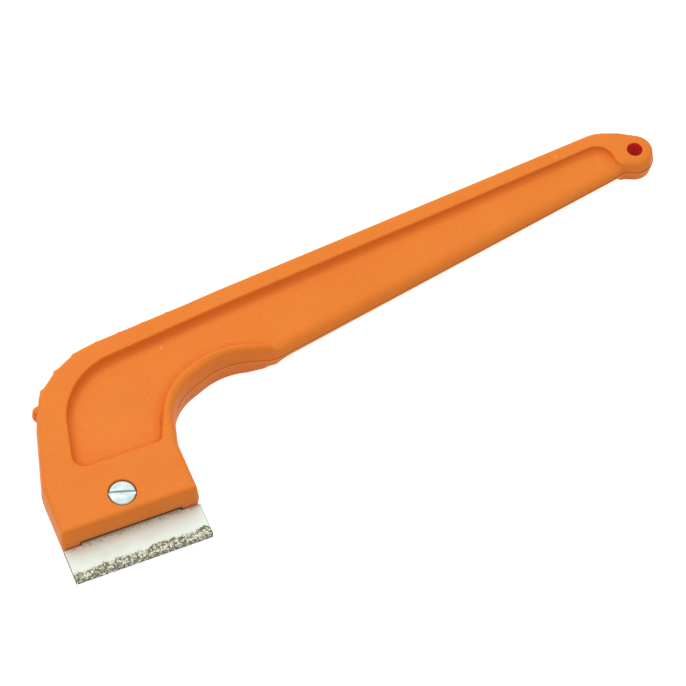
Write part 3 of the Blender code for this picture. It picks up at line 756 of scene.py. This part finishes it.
def bladeMaterial():
    material, tree, shader, coords = startMaterial("bladeSteel", {
        "Base Color": (*blade["color"], 1.0), "Metallic": 0.16, "Roughness": 0.44,
    })
    grain = placeGroup(tree, grainGroup, coords, Fine_Scale=1500.0, Broad_Scale=110.0, Speck_Scale=500.0)
    scratch = placeGroup(tree, scratchGroup, coords, (-700, -300), Scale=170.0, Stretch=(1.0, 14.0, 1.0),
                         Amount=0.35)
    fine, broad = grain.outputs["Fine"], grain.outputs["Broad"]
    parts = addNode(tree, "ShaderNodeSeparateXYZ", (-900, 500))
    tree.links.new(coords, parts.inputs[0])

    def backFromEdge(limits, toLow, toHigh, place):
        low, high = (edgeMiddle.y + value / 1000 for value in limits)
        return mapRange(tree, parts.outputs["Y"], low, high, toLow, toHigh, place)

    smudged = mapRange(tree, broad, *blade["smudgeFrom"], 0.0, blade["smudgeMost"], (-450, 250))
    steel = mixColor(tree, smudged, blade["color"], blade["smudge"], (-200, 250))
    # painted light: lighter steel towards the head, to offset the head's shade
    paintedLit = backFromEdge(blade["brightFrom"], 0.0, 1.0, (-700, 350))
    steel = mixColor(tree, paintedLit, steel, blade["bright"], (-80, 280))
    # the painted shade and the brown spots end on the tang
    untilTang = backFromEdge(blade["untilTangFrom"], 1.0, 0.0, (-900, 700))
    # brown spots, more of them towards the head: grout dirt and painted shade
    near = backFromEdge(blade["dirtAndShadeFrom"], 0.0, 1.0, (-700, 500))
    near = mathNode(tree, "MULTIPLY", near, untilTang, (-600, 500))
    spots = mathNode(tree, "ADD", near, fine, (-500, 500))
    dirtAndShaded = mapRange(tree, spots, *blade["dirtAndShadeSpots"], 0.0, blade["dirtAndShadeMost"], (-350, 500))
    steel = mixColor(tree, dirtAndShaded, steel, blade["dirtAndShade"], (0, 300))
    # painted shade on the plate inside the mouth
    mouthShaded = backFromEdge(blade["paintedMouthShadeFrom"], 0.0, 1.0, (-700, 700))
    mouthShaded = mathNode(tree, "MULTIPLY", mouthShaded, untilTang, (-550, 700))
    steel = mixColor(tree, mouthShaded, steel, blade["paintedMouthShade"], (150, 300))
    # darker side edges: sheared steel and painted shade
    offMiddle = mathNode(tree, "SUBTRACT", parts.outputs["X"], edgeMiddle.x, (-700, 900))
    offMiddle = mathNode(tree, "ABSOLUTE", offMiddle, None, (-550, 900))
    low, high = ((blade["width"] / 2 - inset) / 1000 for inset in blade["sideFrom"])
    shearedAndShaded = mapRange(tree, offMiddle, low, high, 0.0, 1.0, (-400, 900))
    steel = mixColor(tree, shearedAndShaded, steel, blade["side"], (300, 300))
    tree.links.new(steel, shader.inputs["Base Color"])
    uneven = mapRange(tree, broad, 0.3, 0.7, *blade["roughness"], (-450, 0))
    rubbed = mathNode(tree, "MULTIPLY", scratch.outputs["Mask"], blade["scratchRoughness"], (-450, -150))
    tree.links.new(mathNode(tree, "ADD", uneven, rubbed, (-200, 0)), shader.inputs["Roughness"])
    height = mathNode(tree, "ADD", fine, scratch.outputs["Mask"], (-400, -350))
    addBump(tree, shader, height, 0.25, 0.00002)
    return material


def arcPoints(centre, radius, start, turn, steps):
    # points along an arc, both ends included
    angles = [start + turn * step / steps for step in range(steps + 1)]
    return [(centre[0] + radius * math.cos(angle), centre[1] + radius * math.sin(angle)) for angle in angles]


def makeBlade():
    wide, tang, gap = blade["width"] / 2, blade["tang"] / 2, blade["slot"]
    front, shoulder, rear, corner = (blade[label] for label in ("front", "shoulder", "rear", "corner"))
    right = math.pi / 2
    outline = [(-wide, front), (wide, front), (wide, shoulder), (tang, shoulder)]
    outline += arcPoints((tang - corner, rear - corner), corner, 0, right, 8)
    outline += [(gap, rear)] + arcPoints((0, seat["screwY"]), gap, 0, -2 * right, 32) + [(-gap, rear)]
    outline += arcPoints((corner - tang, rear - corner), corner, right, right, 8)
    outline += [(-tang, shoulder), (-wide, shoulder)]
    count = len(outline)
    points = [(x, y, z) for z in (blade["bottom"], blade["top"]) for x, y in outline]
    faces = [list(range(count))[::-1], [count + i for i in range(count)]]
    faces += [[i, (i + 1) % count, count + (i + 1) % count, count + i] for i in range(count)]
    item = meshObject("bladePlate", points, faces, bladeMaterial(), smooth=False)
    bevel = item.modifiers.new("edges", "BEVEL")
    bevel.width = blade["edge"] / 1000
    bevel.segments = 3
    bevel.limit_method = "ANGLE"
    bevel.angle_limit = math.radians(40)
    bevel.harden_normals = True
    item.data.shade_smooth()
    standFor(item, "blade", "blade_body")


makeBlade()
print("blade")


# Carbide edge: brazed crust with crushed grains bedded in it
grit = {
    "band": 3.1,
    "halfWidth": 25.4,
    "low": 3.1,
    "high": 6.3,
    "skin": 0.3,                       # the grains stand out by this much
    "across": 170,                     # steps along the edge, and over each face
    "over": 12,
    "unevenness": (0.05, 0.05, 0.045),
    "waver": 1.21,                     # of the crust's rear margin
    "grains": 1150,
    "grainSize": (0.34, 0.68),
    "sides": (0.42, 0.42, 0.16),       # shares of the grains on the top, the underside and the front
    "stray": 0.9,                      # how far single grains lie behind the band
    "stain": (0.33, 0.34, 0.21),
    "stainFrom": (0.5, 0.75),
    "stainMost": 0.25,
    "roughness": (0.3, 0.6),
    # the crust is dark: the braze's own colour and painted shade between the grains
    "crustColors": ((0.0, (0.13, 0.13, 0.075)), (1.0, (0.22, 0.22, 0.14))),
    "grainColors": ((0.0, (0.40, 0.39, 0.25)), (0.2, (0.66, 0.66, 0.49)), (0.5, (0.84, 0.86, 0.70)),
                    (1.0, (0.95, 0.97, 0.87))),
}


def gritMaterial(name, colors):
    # each loose grain takes its own colour from the row of colours
    material, tree, shader, coords = startMaterial(name, {
        "Base Color": (0.36, 0.36, 0.28, 1.0), "Metallic": 0.1, "Roughness": 0.42,
    })
    island = addNode(tree, "ShaderNodeNewGeometry", (-1100, -300)).outputs["Random Per Island"]
    grain = placeGroup(tree, grainGroup, coords, Fine_Scale=3000.0, Broad_Scale=700.0, Speck_Scale=900.0)
    ramp = addNode(tree, "ShaderNodeValToRGB", (-600, 300))
    tree.links.new(island, ramp.inputs[0])
    stops = ramp.color_ramp.elements
    first, *between, last = colors
    for stop, (place, color) in ((stops[0], first), (stops[1], last)):
        stop.position, stop.color = place, (*color, 1)
    for place, color in between:
        stops.new(place).color = (*color, 1)
    stained = mapRange(tree, grain.outputs["Broad"], *grit["stainFrom"], 0.0, grit["stainMost"], (-450, 0))
    base = mixColor(tree, stained, ramp.outputs[0], grit["stain"], (-150, 250))
    tree.links.new(base, shader.inputs["Base Color"])
    rough = mapRange(tree, grain.outputs["Fine"], 0.3, 0.7, *grit["roughness"], (-450, -150))
    tree.links.new(rough, shader.inputs["Roughness"])
    addBump(tree, shader, grain.outputs["Fine"], 0.4, 0.00006)
    return material


def crustLoop(low, high):
    # section of the crust: over the plate, round its front edge, back under it and into the plate
    band, ease = grit["band"], 0.25
    shares = np.linspace(0, 1, grit["over"])
    ring = [(band * (1 - share), high) for share in shares] + [(ease, high - ease)]
    ring += [(0.22, z) for z in np.linspace(high - 0.6, low + 0.6, 6)]
    ring += [(ease, low + ease)] + [(band * share, low) for share in shares]
    rear, inner = band - 0.3, 1.0
    inside = [(rear, blade["bottom"] + 0.15), (inner, blade["bottom"] + 0.3),
              (inner, blade["top"] - 0.3), (rear, blade["top"] - 0.15)]
    return ring + inside, len(ring)


def makeCrust(low, high):
    # closed loop round the plate's front edge, roughened and with a ragged rear margin
    across, halfWidth = grit["across"], grit["halfWidth"]
    loop, outerCount = crustLoop(low, high)
    count = len(loop)
    rough = randomGen.normal(0, 1, (across, count, 3)) * grit["unevenness"]
    rough[:, outerCount:] = 0
    margin = grit["waver"] * np.convolve(randomGen.normal(0, 1, across + 6), np.ones(7) / 7, mode="valid")
    limit = halfWidth - 0.02
    points = []
    for i in range(across):
        x = -halfWidth + 0.1 + (2 * halfWidth - 0.2) * i / (across - 1)
        for k, (y, z) in enumerate(loop):
            side, along, up = rough[i, k]
            back = y + margin[i] * (y / grit["band"]) ** 2 + along
            points.append((np.clip(x + side, -limit, limit), max(back, 0.05), z + up))
    faces = []
    for i in range(across - 1):
        for k in range(count):
            a, b = i * count + k, i * count + (k + 1) % count
            faces.append([a, b, b + count, a + count])
    faces.append(list(range(count))[::-1])
    faces.append([(across - 1) * count + k for k in range(count)])
    return points, faces


def makeGrit():
    low, high, halfWidth = grit["low"] + grit["skin"], grit["high"] - grit["skin"], grit["halfWidth"]
    points, faces = makeCrust(low, high)
    crustFaces = len(faces)

    # grains: small broken lumps on the top, the underside and the front
    seed = bmesh.new()
    bmesh.ops.create_icosphere(seed, subdivisions=1, radius=1.0)
    unit = np.array([v.co[:] for v in seed.verts])
    unitFaces = [[v.index for v in f.verts] for f in seed.faces]
    seed.free()
    smallest, largest = grit["grainSize"]
    bedded = 0.05
    limit = halfWidth - 0.01
    for _ in range(grit["grains"]):
        side = randomGen.choice(3, p=grit["sides"])
        size = smallest + (largest - smallest) * randomGen.random() ** 1.6
        reach = grit["band"] + grit["stray"] * randomGen.random() ** 2
        x = randomGen.uniform(-halfWidth + size, halfWidth - size)
        y = randomGen.random() * reach
        if side == 2:
            centre = (x, 0.30, randomGen.uniform(low, high))
        else:
            y = max(y, size + bedded)
            centre = (x, y, high - bedded if side == 0 else low + bedded)
        stretch = size * randomGen.uniform(0.55, 1.0, 3)
        angle = randomGen.uniform(0, math.tau)
        axis = Vector(randomGen.normal(0, 1, 3)).normalized()
        turn = np.array(Matrix.Rotation(angle, 3, axis))
        lump = (unit * randomGen.uniform(0.75, 1.1, (len(unit), 1)) * stretch) @ turn.T + centre
        lump[:, 0] = np.clip(lump[:, 0], -limit, limit)
        lump[:, 1] = np.maximum(lump[:, 1], 0.01)
        lump[:, 2] = np.clip(lump[:, 2], grit["low"], grit["high"])
        first = len(points)
        points += [tuple(p) for p in lump]
        faces += [[first + v for v in f] for f in unitFaces]
    grains = gritMaterial("carbideGrit", grit["grainColors"])
    item = meshObject("carbideEdge", points, faces, grains, smooth=False)
    item.data.materials.append(gritMaterial("brazedCrust", grit["crustColors"]))
    for number in range(crustFaces):
        item.data.polygons[number].material_index = 1
    standFor(item, "carbide_grit", "blade_body")


makeGrit()
print("carbide edge")


# Clamp screw and nut
screw = {
    "head": 4.75,
    "headHeight": 3.0,
    "dome": 0.28,
    "rim": 0.55,
    "shank": 2.45,
    "pitch": 0.8,
    "thread": 0.42,
    "threadFade": 0.4,
    "tip": 0.4,
    "driveWidth": 1.35,
    "driveDepth": 0.9,
    "driveEase": 0.14,          # rounding of the drive slot's upper edges
    "driveTurn": -18.0,
    "color": (0.505, 0.60, 0.595),
    "roughness": 0.40,
    "turned": 0.5,
}
nut = {
    "flats": 8.0,
    "low": 0.2,
    "high": 2.6,
    "bore": 2.62,
    "chamfer": 0.25,
    "corner": 0.97,             # share of the flats at which its corners are turned off
    "cornerDrop": 0.55,
    "color": (0.68, 0.71, 0.70),
    "roughness": 0.36,
    "turned": 0.0,
}
plating = {
    "rings": 42000.0,           # lathe rings round the screw's axis, in radians for each metre out
    "dullFrom": (0.4, 0.7),
    "dullMost": 0.45,
    "dull": 0.72,
    "roughnessSpread": (-0.08, 0.12),
}
roundSteps = 96
threadRow = 0.1


def platingMaterial(name, look):
    color = look["color"]
    material, tree, shader, coords = startMaterial(name, {
        "Base Color": (*color, 1.0), "Metallic": 0.5, "Roughness": look["roughness"],
    })
    centred = placeGroup(tree, roundAboutGroup, coords, (-900, -200),
                         Axis=(edgeMiddle.x, edgeMiddle.y + seat["screwY"] / 1000, 0.0))
    outward = mathNode(tree, "MULTIPLY", centred.outputs["Distance"], plating["rings"], (-500, -200))
    rings = mathNode(tree, "SINE", outward, None, (-350, -200))
    grain = placeGroup(tree, grainGroup, coords, (-900, 200), Fine_Scale=1500.0, Broad_Scale=350.0,
                       Speck_Scale=800.0)
    broad = grain.outputs["Broad"]
    dulled = mapRange(tree, broad, *plating["dullFrom"], 0.0, plating["dullMost"], (-500, 250))
    base = mixColor(tree, dulled, color, tuple(plating["dull"] * value for value in color), (-200, 250))
    tree.links.new(base, shader.inputs["Base Color"])
    low, high = (look["roughness"] + value for value in plating["roughnessSpread"])
    tree.links.new(mapRange(tree, broad, 0.3, 0.7, low, high, (-500, 0)), shader.inputs["Roughness"])
    height = mathNode(tree, "ADD", mathNode(tree, "MULTIPLY", rings, look["turned"], (-200, -250)),
                      grain.outputs["Fine"], (-50, -250))
    addBump(tree, shader, height, 0.3, 0.00002)
    return material


def lathe(profile, threadFrom, threadTo, phase=0.0):
    # rings of (radius, z) about the screw's axis; between the two heights the radius follows a thread
    points, faces = [], []
    for radius, z in profile:
        for step in range(roundSteps):
            angle = math.tau * step / roundSteps
            cut = 0
            if threadFrom <= z <= threadTo:
                turn = (z / screw["pitch"] - step / roundSteps + phase) % 1.0
                fade = min(1.0, (z - threadFrom) / screw["threadFade"], (threadTo - z) / screw["threadFade"])
                cut = fade * screw["thread"] * abs(2 * turn - 1)
            across = radius - cut
            points.append((across * math.cos(angle), seat["screwY"] + across * math.sin(angle), z))
    for row in range(len(profile) - 1):
        for step in range(roundSteps):
            a, b = row * roundSteps + step, row * roundSteps + (step + 1) % roundSteps
            faces.append([a, b, b + roundSteps, a + roundSteps])
    return points, faces


def makeDriveCutter(top, material):
    # straight slot with eased upper edges, wider above the head
    half, ease = screw["driveWidth"] / 2, screw["driveEase"]
    bottom, surface, long = top - screw["driveDepth"], top - 0.12, screw["head"] + 1.5
    over, foot = 0.6, 0.1
    section = [(-half + foot, bottom), (half - foot, bottom), (half, bottom + foot), (half, surface - ease),
               (half + ease, surface), (half + ease + over, top + over), (-half - ease - over, top + over),
               (-half - ease, surface), (-half, surface - ease), (-half, bottom + foot)]
    turn = math.radians(screw["driveTurn"])
    points = []
    for along in (-long, long):
        for across, z in section:
            points.append((along * math.cos(turn) - across * math.sin(turn),
                           seat["screwY"] + along * math.sin(turn) + across * math.cos(turn), z))
    count = len(section)
    faces = [list(range(count))[::-1], [count + k for k in range(count)]]
    faces += [[k, (k + 1) % count, count + (k + 1) % count, count + k] for k in range(count)]
    return meshObject("driveCutter", points, faces, material)


def makeScrew():
    head, rim, shank, tip = (screw[label] for label in ("head", "rim", "shank", "tip"))
    top = handle["thickness"]
    under = top - screw["headHeight"]
    profile = [(0.9, tip), (shank - 0.5, tip + 0.02)]
    heights = np.arange(tip + 0.45, under - 0.3, threadRow)
    profile += [(shank, z) for z in heights]
    profile += [(shank, under - 0.02), (shank + 0.1, under), (head - 0.15, under), (head, under + 0.15)]
    edge = top - screw["dome"] - rim
    profile += arcPoints((head - rim, edge), rim, 0, math.pi / 2, 8)
    for share in (0.82, 0.6, 0.4, 0.2, 0.05):
        radius = (head - rim) * share
        profile.append((radius, top - screw["dome"] * (radius / (head - rim)) ** 2))
    points, faces = lathe(profile, heights[0] - 0.01, heights[-1] + 0.01)
    last = (len(profile) - 1) * roundSteps
    faces.append(list(range(roundSteps))[::-1])
    faces.append(list(range(last, last + roundSteps)))
    plated = platingMaterial("screwPlating", screw)
    item = meshObject("clampScrew", points, faces, plated)
    cutter = makeDriveCutter(top, plated)
    drive = item.modifiers.new("drive", "BOOLEAN")
    drive.object = cutter
    drive.operation = "DIFFERENCE"
    drive.solver = "EXACT"
    bpy.context.view_layer.update()
    mesh = bpy.data.meshes.new_from_object(item.evaluated_get(bpy.context.evaluated_depsgraph_get()))
    item.modifiers.clear()
    item.data = mesh
    bpy.data.objects.remove(cutter)
    mesh.shade_smooth()
    mesh.set_sharp_from_angle(angle=math.radians(32))
    standFor(item, "clamp_screw", "screw_body")


def makeNut():
    flats, low, high, bore, ease = nut["flats"] / 2, nut["low"], nut["high"], nut["bore"], nut["chamfer"]
    heights = np.arange(low + 0.35, high - 0.3, threadRow)
    inner = [(bore + ease, low), (bore, low + ease)] + [(bore, z) for z in heights]
    inner += [(bore, high - ease), (bore + ease, high)]
    points, faces = lathe(inner, heights[0] - 0.01, heights[-1] + 0.01, 0.5)
    for face in faces:
        face.reverse()
    turnedOff = flats * nut["corner"]
    first = len(points)
    for z, chamfered in ((high, True), (high, False), (low, False), (low, True)):
        for step in range(roundSteps):
            angle = math.tau * step / roundSteps
            hexRadius = flats / math.cos((angle + math.pi / 6) % (math.pi / 3) - math.pi / 6)
            radius = turnedOff if chamfered else hexRadius
            drop = 0 if chamfered else max(0.0, (hexRadius - turnedOff) * nut["cornerDrop"])
            height = z - drop if z == high else z + drop
            points.append((radius * math.cos(angle), seat["screwY"] + radius * math.sin(angle), height))
    bands = [(len(inner) - 1) * roundSteps] + [first + row * roundSteps for row in range(4)] + [0]
    for a, b in zip(bands, bands[1:]):
        for step in range(roundSteps):
            other = (step + 1) % roundSteps
            faces.append([a + other, a + step, b + step, b + other][::-1])
    item = meshObject("clampNut", points, faces, platingMaterial("nutPlating", nut))
    sorter = bmesh.new()
    sorter.from_mesh(item.data)
    bmesh.ops.recalc_face_normals(sorter, faces=sorter.faces)
    sorter.to_mesh(item.data)
    sorter.free()
    item.data.set_sharp_from_angle(angle=math.radians(25))
    standFor(item, "clamp_nut", "handle_body")


makeScrew()
makeNut()
print("screw and nut")


# Floor, light and camera
studio = {
    "floorHalf": 4.0,
    "floorColor": (0.76, 0.76, 0.76),
    "floorGlow": 0.80,
    "sky": 0.66,
    "keySize": 0.9,
    "keyPower": 7.1,
    "keyPlace": (-0.20, 0.55, 1.15),
}
photoView = {
    "target": (-0.0068962, 0.0067037, 0.0),
    "distance": 1.26314,
    "azimuth": 24.149,        # from +Y towards +X
    "elevation": 58.65,
    "roll": 2.05,
    "lens": 183.673,
    "sensor": 36,
    "farthest": 20,
}


def seenShare(tree, top):
    # one where the camera, a reflection or a pane of glass looks straight at it, otherwise nothing
    light = addNode(tree, "ShaderNodeLightPath", (-700, top)).outputs
    seen = mathNode(tree, "MAXIMUM", light["Is Camera Ray"], light["Is Glossy Ray"], (-500, top))
    return mathNode(tree, "MAXIMUM", seen, light["Is Transmission Ray"], (-350, top))


def makeFloor():
    mesh = bpy.data.meshes.new("floor")
    half = studio["floorHalf"]
    corners = [(-half, -half, 0), (half, -half, 0), (half, half, 0), (-half, half, 0)]
    mesh.from_pydata(corners, [], [(0, 1, 2, 3)])
    floor = bpy.data.objects.new("floor", mesh)
    bpy.context.scene.collection.objects.link(floor)
    material, tree, shader, _ = startMaterial("floorPaper", {
        "Base Color": (*studio["floorColor"], 1.0), "Roughness": 0.9, "Specular IOR Level": 0.0,
        "Emission Color": (1.0, 1.0, 1.0, 1.0),
    })
    tree.links.new(mathNode(tree, "MULTIPLY", seenShare(tree, -200), studio["floorGlow"], (-200, -200)),
                   shader.inputs["Emission Strength"])
    mesh.materials.append(material)


def makeWorld():
    world = bpy.data.worlds.new("studioSky")
    bpy.context.scene.world = world
    world.use_nodes = True
    tree = world.node_tree
    back = tree.nodes["Background"]
    back.inputs["Color"].default_value = (1, 1, 1, 1)
    strength = mapRange(tree, seenShare(tree, 0), 0.0, 1.0, studio["sky"], 1.0, (-200, 0))
    tree.links.new(strength, back.inputs["Strength"])


def areaLamp(name, place, size, power):
    lamp = bpy.data.lights.new(name, "AREA")
    lamp.size = size
    lamp.energy = power
    item = bpy.data.objects.new(name, lamp)
    item.location = place
    item.rotation_euler = (Vector((0, 0, 0)) - Vector(place)).to_track_quat("-Z", "Y").to_euler()
    bpy.context.scene.collection.objects.link(item)


def makeCamera():
    lens = bpy.data.cameras.new("photoView")
    lens.lens = photoView["lens"]
    lens.sensor_width = photoView["sensor"]
    lens.clip_end = photoView["farthest"]
    camera = bpy.data.objects.new("photoView", lens)
    bpy.context.scene.collection.objects.link(camera)
    azimuth, elevation = math.radians(photoView["azimuth"]), math.radians(photoView["elevation"])
    forward = Vector((math.sin(azimuth) * math.cos(elevation), math.cos(azimuth) * math.cos(elevation),
                      -math.sin(elevation)))
    level = forward.cross(Vector((0, 0, 1))).normalized()
    upward = level.cross(forward)
    roll = math.radians(photoView["roll"])
    right = level * math.cos(roll) + upward * math.sin(roll)
    up = right.cross(forward)
    turned = Matrix((right, up, -forward)).transposed()
    place = Vector(photoView["target"]) - forward * photoView["distance"]
    camera.matrix_world = Matrix.Translation(place) @ turned.to_4x4()
    bpy.context.scene.camera = camera


makeFloor()
makeWorld()
areaLamp("keyLamp", studio["keyPlace"], studio["keySize"], studio["keyPower"])
makeCamera()
bpy.context.scene.view_settings.view_transform = "Standard"
print("floor, light and camera")
